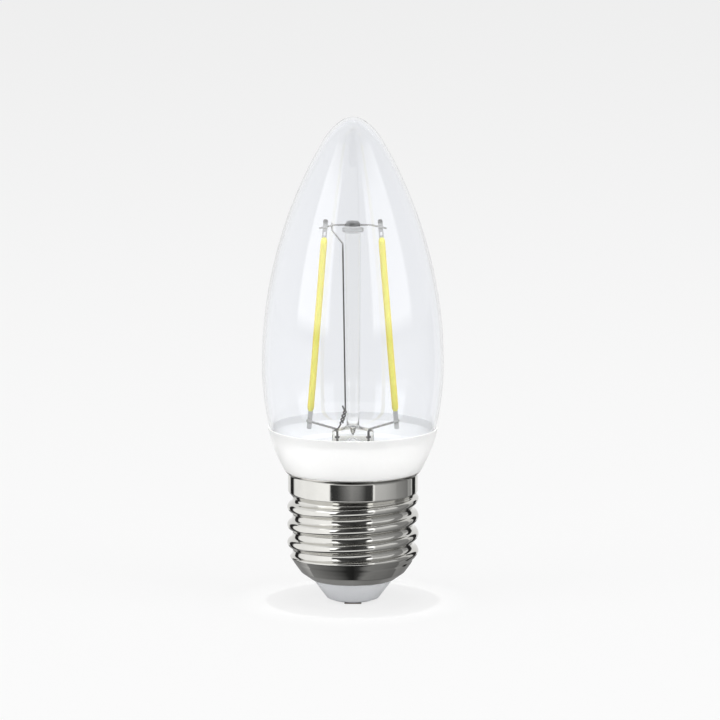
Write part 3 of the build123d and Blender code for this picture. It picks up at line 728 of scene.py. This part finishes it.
# the jumper's upper end is wound once round the top wire
hook_place, hook_bend, top_wire_height = -4.2, 0.42, 76.11
hook = [(hook_place, -y, z) for y, z in arc((0, top_wire_height), hook_bend, start=0, end=180, steps=8)]
jumper_points = [
    (hook_place, hook_bend, 75.75),
    *hook,
    (hook_place, -hook_bend, 75.3),
    (-2.02, -0.43, 72.56),
    (-1.5, -0.9, 38.9),
    (-2.3, -0.8, 36.4),
]
tail_points = [
    (-3.3, -0.37, 34.95),
    (-3.0, -0.4, 35.15),
    (-2.35, -0.8, 36.2),
    (-1.6, -0.9, 38.75),
    (-2.1, -0.75, 39.9),
]
jumper = wire("jumper_twisted", jumper_points, phase=0.0)
fitted(jumper, "jumper_metal", "jumper_wire")
tail = wire("jumper_tail_twisted", tail_points, phase=math.pi)
fitted(tail, "jumper_metal", "jumper_tail")

# Filaments: a row of chips on a carrier strip, dipped in silicone that holds yellow phosphor. Stamped steel
# tabs at both ends are rolled round the wires and spot welded.
coat_length, coat_width, coat_depth = 35.2, 1.35, 1.15
# the coat keeps a little inside its full width, has flattened flanks, and narrows towards its ends
coat_fill, flank_power = 0.98, 0.85
end_loss, end_length = 0.42, 0.9
# it was dipped, so it swells and drifts by a hundredth of its width; waves are in radians a millimetre
slow_swell, slow_wave = 0.008, 1.3
quick_swell, quick_wave = 0.005, 4.1
drift_width, drift_wave = 0.012, 0.4
# the painted shade on its flanks deepens over this part of its half width
deep_from, deep_over = 0.45, 0.5
foot_reach, foot_height = 8.67, 36.55
head_reach, head_height = 5.52, 75.824
rows, around = 120, 24

# Stamped steel: pale grey and satin, and darker at its uppermost ends
tab_steel = grained(
    "stamped_steel", "#CBCBCA", "#BABAB9", grain=0.35, gloss=(0.3, 0.42), relief=0.004, even=METAL
)
toned(tab_steel, start=76.3, end=76.9, code="#858482")
# Alumina: white and matt with a fine sintered grain, drawn coarser than it is
strip_ceramic = grained("alumina_strip", "#EFEDE6", "#E3E0D6", grain=0.2, gloss=(0.5, 0.6), relief=0.003)
# Sapphire chips: pale green and smooth, as sawn and polished
chip_crystal = grained("sapphire_chip", "#B9C9C2", "#A5B8B0", grain=0.1, gloss=(0.1, 0.2), relief=0.001)
# Silicone with phosphor: pale yellow over the strip, with specks drawn coarser than they are, and a deeper
# yellow painted on both flanks as painted shade for the silicone that a slanting view looks through there
coat_silicone = grained(
    "phosphor_silicone",
    "#F1EC72",
    "#EBE566",
    grain=0.25,
    gloss=(0.35, 0.5),
    relief=0.008,
    even={
        "IOR": 1.41,
        "Subsurface Weight": 0.25,
        "Subsurface Radius": (0.6 * MM, 0.5 * MM, 0.15 * MM),
        "Subsurface Scale": 1.0,
    },
)
tree = coat_silicone.node_tree
surface = tree.nodes["Principled BSDF"]
tone = surface.inputs["Base Color"].links[0].from_socket
# painted shade: the flanks get a deeper yellow, standing in for the slanting view through more silicone
flank = add(tree, "ShaderNodeAttribute", attribute_name="flank_painted_shade").outputs["Fac"]
flank_shaded_tone = add(tree, "ShaderNodeMix", {0: flank, 6: tone, 7: linear("#E8D24A")}, data_type="RGBA")
tree.links.new(flank_shaded_tone.outputs[2], surface.inputs["Base Color"])

for side, name in ((-1, "left"), (1, "right")):
    finish_solid(f"tab_upper_{name}", tab_steel)
    finish_solid(f"tab_lower_{name}", tab_steel)
    finish_solid(f"filament_strip_{name}", strip_ceramic)
    finish_solid(f"led_chips_{name}", chip_crystal)
    foot = Vector((side * foot_reach, 0, foot_height))
    head = Vector((side * head_reach, 0, head_height))
    along = (head - foot).normalized()
    across = Vector((0, 1, 0)).cross(along)
    middle = (foot + head) / 2
    body = bmesh.new()
    sides = []
    rings = []
    for row in range(rows + 1):
        place = -coat_length / 2 + coat_length * row / rows
        to_end = coat_length / 2 - abs(place)
        full = 1 - end_loss * max(0.0, 1 - to_end / end_length) ** 2
        swell = slow_swell * math.sin(place * slow_wave + side)
        full *= 1 + swell + quick_swell * math.sin(place * quick_wave)
        drift = drift_width * math.sin(place * drift_wave + side)
        ring = []
        for step in range(around):
            turn = 2 * math.pi * step / around
            flank = math.copysign(abs(math.cos(turn)) ** flank_power, math.cos(turn))
            x = flank * coat_width / 2 * full * coat_fill
            y = math.sin(turn) * coat_depth / 2 * full * coat_fill
            point = middle + along * place + across * (x + drift) + Vector((0, y, 0))
            ring.append(body.verts.new(point * MM))
            # each point's share of the painted flank shade
            sides.append(min(1.0, max(0.0, (abs(x) / (coat_width / 2) - deep_from) / deep_over)))
        rings.append(ring)
    for low, high in zip(rings, rings[1:]):
        for step in range(around):
            after = (step + 1) % around
            body.faces.new((low[step], low[after], high[after], high[step]))
    body.faces.new(rings[0])
    body.faces.new(rings[-1])
    bmesh.ops.recalc_face_normals(body, faces=body.faces)
    mesh = bpy.data.meshes.new(f"filament_silicone_{name}")
    body.to_mesh(mesh)
    body.free()
    mesh.shade_smooth()
    mesh.set_sharp_from_angle(angle=SHARP)
    mesh.materials.append(coat_silicone)
    mark = mesh.attributes.new("flank_painted_shade", "FLOAT", "POINT")
    mark.data.foreach_set("value", sides)
    coat = bpy.data.objects.new(f"filament_silicone_{name}", mesh)
    bpy.context.scene.collection.objects.link(coat)
    fitted(coat, "phosphor_silicone", f"filament_coat_{name}")

# Bulb: soda-lime glass about half a millimetre thick, blown to a candle shape and fused to the stem's flare
# at its neck. The space inside is filled with gas and sealed.
wall = 0.55
bulb_top = 97.95
# tip, nose, long flank, belly and hip: the arc's centre, its radius, both angles and the steps
bulb_arcs = [
    ((0, 93.95), 4.0, 90, 56, 12),
    ((-4.4735, 87.3177), 12.0, 56, 30.5241, 16),
    ((-70.8184, 48.2), 89.0184, 30.5241, 0, 64),
    ((-38.1422, 48.2), 56.3422, 0, -13.0269, 20),
    ((10.4173, 36.9652), 6.5, -13.0269, -68.5749, 18),
]
# the throat curves the other way, so the wall lies outside its arc
throat_centre, throat_radius = (14.0529, 27.7), 3.4529
throat_start, throat_end, throat_steps = 111.4251, 180, 10
neck_radius, neck_foot = 10.6, 26.52
bulb_outside = [(0.0, bulb_top)]
bulb_inside = [(0.0, bulb_top - wall)]
for centre, radius, start, end, steps in bulb_arcs:
    bulb_outside += arc(centre, radius, start, end, steps)[1:]
    bulb_inside += arc(centre, radius - wall, start, end, steps)[1:]
bulb_outside += arc(throat_centre, throat_radius, throat_start, throat_end, throat_steps)[1:]
bulb_inside += arc(throat_centre, throat_radius + wall, throat_start, throat_end, throat_steps)[1:]
bulb_outside.append((neck_radius, neck_foot))
bulb_inside.append((neck_radius - wall, neck_foot))
# Soda-lime glass: clear with the faintest blue, a smooth fire polish and long low waves from the blowing
bulb_glass = clear_glass("soda_lime_glass", "#FAFBFD", wave=9.0, gloss=0.0)
bulb = turned("bulb_blown", bulb_outside + bulb_inside[::-1], bulb_glass, steps=240)
fitted(bulb, "clear_glass", "glass_bulb")

# Adhesive: a bead of silicone between the collar's seat and the hollow above the glass neck. It is laid on
# the seat before the bulb is pushed in, and it cures there.

# Silicone adhesive: off-white and matt, slightly lumpy as it left the nozzle
adhesive = grained("silicone_adhesive", "#E9E8E2", "#DAD8D0", grain=0.8, gloss=(0.4, 0.55), relief=0.01)
finish_solid("neck_cement", adhesive)

# Studio: a pale floor, soft lamps, and cards that only mirror surfaces see. The cards stand for the room,
# the table, two softboxes, white boards on both sides and the dark room behind the camera, and a few small
# ones stand close to the cap.
scene = bpy.context.scene
scene.view_settings.view_transform = "Standard"
# light crosses up to a dozen glass walls, so paths are let run longer
scene.cycles.max_bounces = 32
scene.cycles.transmission_bounces = 32
backdrop = linear("#F7F7F7")

# the camera, mirrors and glass see the pale backdrop, and matt surfaces get a weaker even light
world = bpy.data.worlds.new("studio")
world.use_nodes = True
scene.world = world
tree = world.node_tree
tree.nodes.clear()
rays = add(tree, "ShaderNodeLightPath").outputs
seen = rays["Is Camera Ray"]
for kind in ("Is Glossy Ray", "Is Transmission Ray"):
    seen = add(tree, "ShaderNodeMath", {0: seen, 1: rays[kind]}, operation="MAXIMUM")
fill_light = add(tree, "ShaderNodeBackground", {"Color": (1.0, 1.0, 1.0, 1.0), "Strength": 0.5})
pale_wall = add(tree, "ShaderNodeBackground", {"Color": backdrop, "Strength": 1.0})
sky = add(tree, "ShaderNodeMixShader", {0: seen, 1: fill_light, 2: pale_wall})
add(tree, "ShaderNodeOutputWorld", {"Surface": sky})

# the floor lies a hair below the contact, so that the two don't share a plane
floor_half, floor_drop = 4.0, 2e-5
# the share of the floor that looks even; the rest is matt paper, which takes the shadow
even_share = 0.8
corners = [(x * floor_half, y * floor_half, -floor_drop) for x, y in ((-1, -1), (1, -1), (1, 1), (-1, 1))]
floor_mesh = bpy.data.meshes.new("floor")
floor_mesh.from_pydata(corners, [], [(0, 1, 2, 3)])
floor = bpy.data.objects.new("floor", floor_mesh)
scene.collection.objects.link(floor)
paper = bpy.data.materials.new("pale_paper")
paper.use_nodes = True
tree = paper.node_tree
tree.nodes.clear()
rays = add(tree, "ShaderNodeLightPath").outputs
seen = add(
    tree,
    "ShaderNodeMath",
    {0: rays["Is Camera Ray"], 1: rays["Is Transmission Ray"]},
    operation="MAXIMUM",
)
seen = add(tree, "ShaderNodeMath", {0: seen, 1: even_share}, operation="MULTIPLY")
matt = add(tree, "ShaderNodeBsdfDiffuse", {"Color": backdrop})
even = add(tree, "ShaderNodeEmission", {"Color": backdrop, "Strength": 1.0})
pale = add(tree, "ShaderNodeMixShader", {0: seen, 1: matt, 2: even})
add(tree, "ShaderNodeOutputMaterial", {"Surface": pale})
floor_mesh.materials.append(paper)
floor.visible_glossy = False


def reflector(name, bearings, reaches, heights, shades, feather=(0.0, 0.0, 0.0), weave=1.0):
    """A card bent round the lamp and seen only in mirror surfaces. Bearings are in degrees from the
    camera's side, reaches and heights give its lower and upper edge in metres, shades are spread over its
    length, the feather softens its ends in degrees and its lower and upper edge in shares of its height,
    and a weave below 1 lets what is behind it show through."""
    columns, rows = 72, 16
    points, faces, levels, covers = [], [], [], []
    for column in range(columns + 1):
        along = column / columns
        bearing = bearings[0] + (bearings[1] - bearings[0]) * along
        place = along * (len(shades) - 1)
        first = min(int(place), max(len(shades) - 2, 0))
        second = min(first + 1, len(shades) - 1)
        level = shades[first] + (shades[second] - shades[first]) * (place - first)
        to_end = min(bearing - bearings[0], bearings[1] - bearing)
        side_cover = min(1.0, to_end / feather[0]) if feather[0] else 1.0
        for row in range(rows + 1):
            up = row / rows
            reach = reaches[0] + (reaches[1] - reaches[0]) * up
            height = heights[0] + (heights[1] - heights[0]) * up
            turn = math.radians(bearing)
            points.append((math.sin(turn) * reach, -math.cos(turn) * reach, height))
            low_cover = min(1.0, up / feather[1]) if feather[1] else 1.0
            high_cover = min(1.0, (1 - up) / feather[2]) if feather[2] else 1.0
            levels.append(level)
            covers.append(side_cover * low_cover * high_cover * weave)
    for column in range(columns):
        for row in range(rows):
            corner = column * (rows + 1) + row
            faces.append((corner, corner + rows + 1, corner + rows + 2, corner + 1))
    mesh = bpy.data.meshes.new(name)
    mesh.from_pydata(points, [], faces)
    for attribute, values in (("level", levels), ("cover", covers)):
        mesh.attributes.new(attribute, "FLOAT", "POINT").data.foreach_set("value", values)
    finish = bpy.data.materials.new(name)
    finish.use_nodes = True
    tree = finish.node_tree
    tree.nodes.clear()
    shade = add(tree, "ShaderNodeAttribute", attribute_name="level")
    cover = add(tree, "ShaderNodeAttribute", attribute_name="cover")
    light = add(tree, "ShaderNodeEmission", {"Strength": shade.outputs["Fac"]})
    gap = add(tree, "ShaderNodeBsdfTransparent")
    edge = add(tree, "ShaderNodeMixShader", {0: cover.outputs["Fac"], 1: gap, 2: light})
    add(tree, "ShaderNodeOutputMaterial", {"Surface": edge})
    mesh.materials.append(finish)
    card = bpy.data.objects.new(name, mesh)
    scene.collection.objects.link(card)
    card.visible_camera = False
    card.visible_diffuse = False
    card.visible_transmission = name.startswith("softbox")
    card.visible_shadow = False


# the room all round, its ceiling, the table's top in front of the lamp and what lies below
all_round = (-180, 180)
wall_reach, wall_foot, wall_top, table_drop = 0.8, -0.215, 2.0, -0.76
room = [0.93, 0.93, 1.1, 1.1, 0.35, 0.1, 0.04, 0.1, 0.35, 0.5, 0.8, 0.93, 0.93]
above = [0.9, 0.9, 1.1, 1.3, 1.2, 0.05, 0.03, 0.05, 0.6, 0.6, 0.6, 0.9, 0.9]
table = [0.3, 0.3, 0.7, 1.0, 1.0, 1.0, 1.0, 0.9, 0.7, 0.5, 0.35, 0.25, 0.3]
below = [0.3, 0.3, 0.2, 0.1, 0.03, 0.02, 0.05, 0.27, 0.22, 0.15, 0.3]
reflector("room_wall", all_round, (wall_reach, wall_reach), (wall_foot, wall_top), room)
reflector("room_ceiling", all_round, (wall_reach, 0.0), (wall_top, wall_top), above)
reflector("table_front", all_round, (wall_reach, wall_reach), (table_drop, wall_foot), table)
reflector("table_below", all_round, (wall_reach, 0.0), (table_drop, table_drop), below)
# the dark room behind the camera and the white boards beside it, as the cap's band mirrors them
dark_span, board_feather = (-40, 36), (1.5, 0.0, 0.15)
board_heights = (-0.22, 0.06)
reflector("room_dark", dark_span, (0.775, 0.775), (-0.22, 0.02), [0.02, 0.03, 0.02], board_feather)
# a low glow and a strip, which nothing but the band mirrors
band_reach, band_heights = (0.77, 0.77), (-0.135, -0.085)
glow_shades = [0.05, 0.07, 0.27, 0.48, 0.38, 0.08, 0.06]
reflector("room_glow", dark_span, band_reach, band_heights, glow_shades, (1.5, 0.3, 0.3))
reflector("board_left", (-128, -40), (0.78, 0.78), board_heights, [0.9, 1.3, 1.4], board_feather)
reflector("board_right", (34, 126), (0.78, 0.78), board_heights, [1.1, 0.75, 0.35], board_feather)
reflector("board_strip", (36, 84), band_reach, band_heights, [1.75, 1.5, 0.9], (2.0, 0.3, 0.3))
# softboxes, which end below the height that the tip of the glass would mirror
softbox_heights, softbox_feather = (0.055, 0.95), (4.0, 0.04, 0.4)
reflector("softbox_left", (-80, -29), (0.75, 0.75), softbox_heights, [2.4], softbox_feather)
reflector("softbox_right", (24, 86), (0.75, 0.75), softbox_heights, [2.0], softbox_feather)
# small cards close to the cap, no higher than its rim: a board, a thin scrim and two black flags
cap_heights, flag_heights = (0.002, 0.0265), (-0.005, 0.0265)
cap_feather, flag_feather = (2.0, 0.0, 0.0), (3.0, 0.0, 0.0)
reflector("cap_board", (-98, -30), (0.024, 0.024), cap_heights, [1.15, 1.4], cap_feather)
reflector("cap_scrim", (22, 72), (0.016, 0.016), cap_heights, [0.25, 0.2, 0.1], cap_feather, weave=0.62)
reflector("cap_flag_left", (-118, -100), (0.025, 0.025), flag_heights, [0.02], flag_feather)
reflector("cap_flag_right", (100, 118), (0.025, 0.025), flag_heights, [0.02], flag_feather)

lamp_aim = Vector((0, 0, 0.05))


def lamp(name, kind, bearing, elevation, distance, power, **settings):
    """A lamp that points at the middle of the bulb and isn't seen itself."""
    light = bpy.data.lights.new(name, kind)
    light.energy = power
    for setting, value in settings.items():
        setattr(light, setting, value)
    turn, rise = math.radians(bearing), math.radians(elevation)
    away = Vector((math.sin(turn) * math.cos(rise), -math.cos(turn) * math.cos(rise), math.sin(rise)))
    made = bpy.data.objects.new(name, light)
    scene.collection.objects.link(made)
    made.location = lamp_aim + away * distance
    made.rotation_euler = away.to_track_quat("Z", "Y").to_euler()
    made.visible_camera = False
    made.visible_glossy = False
    made.visible_transmission = False


lamp("lamp_front", "AREA", bearing=0, elevation=20, distance=1.0, power=1.75, size=0.7)
lamp("lamp_left", "AREA", bearing=-60, elevation=35, distance=1.0, power=1.9, size=0.6)
lamp("lamp_right", "AREA", bearing=60, elevation=35, distance=1.0, power=2.2, size=0.6)
lamp("lamp_top", "AREA", bearing=0, elevation=88, distance=1.0, power=4.5, size=0.5)
# a narrow beam that ends on the collar's seat, so that it leaves no mark on the floor
pin_beam = {"spot_size": math.radians(1.85), "spot_blend": 0.1, "shadow_soft_size": 0.01}
lamp("lamp_pin", "SPOT", bearing=0, elevation=90, distance=0.98, power=50.0, **pin_beam)

# Camera: aimed at the lamp's middle from 9.6 degrees above, as the photograph was taken. It stands far back
# with a long lens, which keeps the lamp's sides nearly parallel.
look = Vector((1.42, 0, 48.98)) * MM
raise_angle = math.radians(9.6)
camera_distance = 1.2
back = Vector((0, -math.cos(raise_angle), math.sin(raise_angle)))
camera_data = bpy.data.cameras.new("camera")
camera_data.lens = 300
camera_data.sensor_width = 36
camera_data.clip_start, camera_data.clip_end = 0.01, 20
camera = bpy.data.objects.new("camera", camera_data)
scene.collection.objects.link(camera)
camera.location = look + back * camera_distance
camera.rotation_euler = back.to_track_quat("Z", "Y").to_euler()
scene.camera = camera
